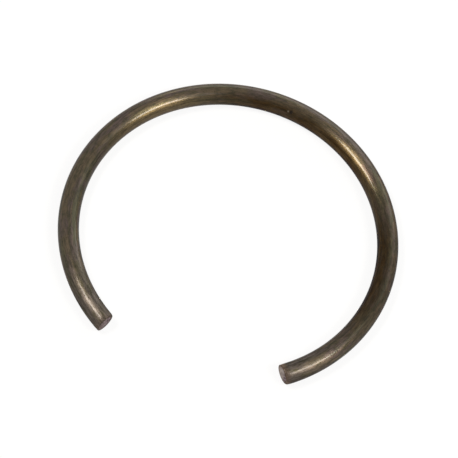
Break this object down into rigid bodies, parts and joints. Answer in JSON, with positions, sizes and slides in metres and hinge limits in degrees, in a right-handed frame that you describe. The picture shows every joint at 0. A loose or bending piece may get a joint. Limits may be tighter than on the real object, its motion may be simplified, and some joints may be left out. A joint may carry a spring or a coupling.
{
  "type": "circlip retaining ring",
  "caption": "Open retaining ring of round spring wire, coiled flat, with a wide gap and sheared ends. It springs outwards into a groove in a bore.",
  "frame": {"origin": "centre of the ring, in the middle plane of its wire", "axes": "+Z along the ring's axis, -Y through the middle of its gap, +X to the right of it"},
  "size_m": [0.032, 0.0292, 0.002],
  "materials": {
    "spring_steel": "oil-tempered spring wire, dark brown oxide with a satin drawn surface"
  },
  "bodies": {
    "root": {"retaining_ring": "spring_steel"}
  },
  "joints": []
}
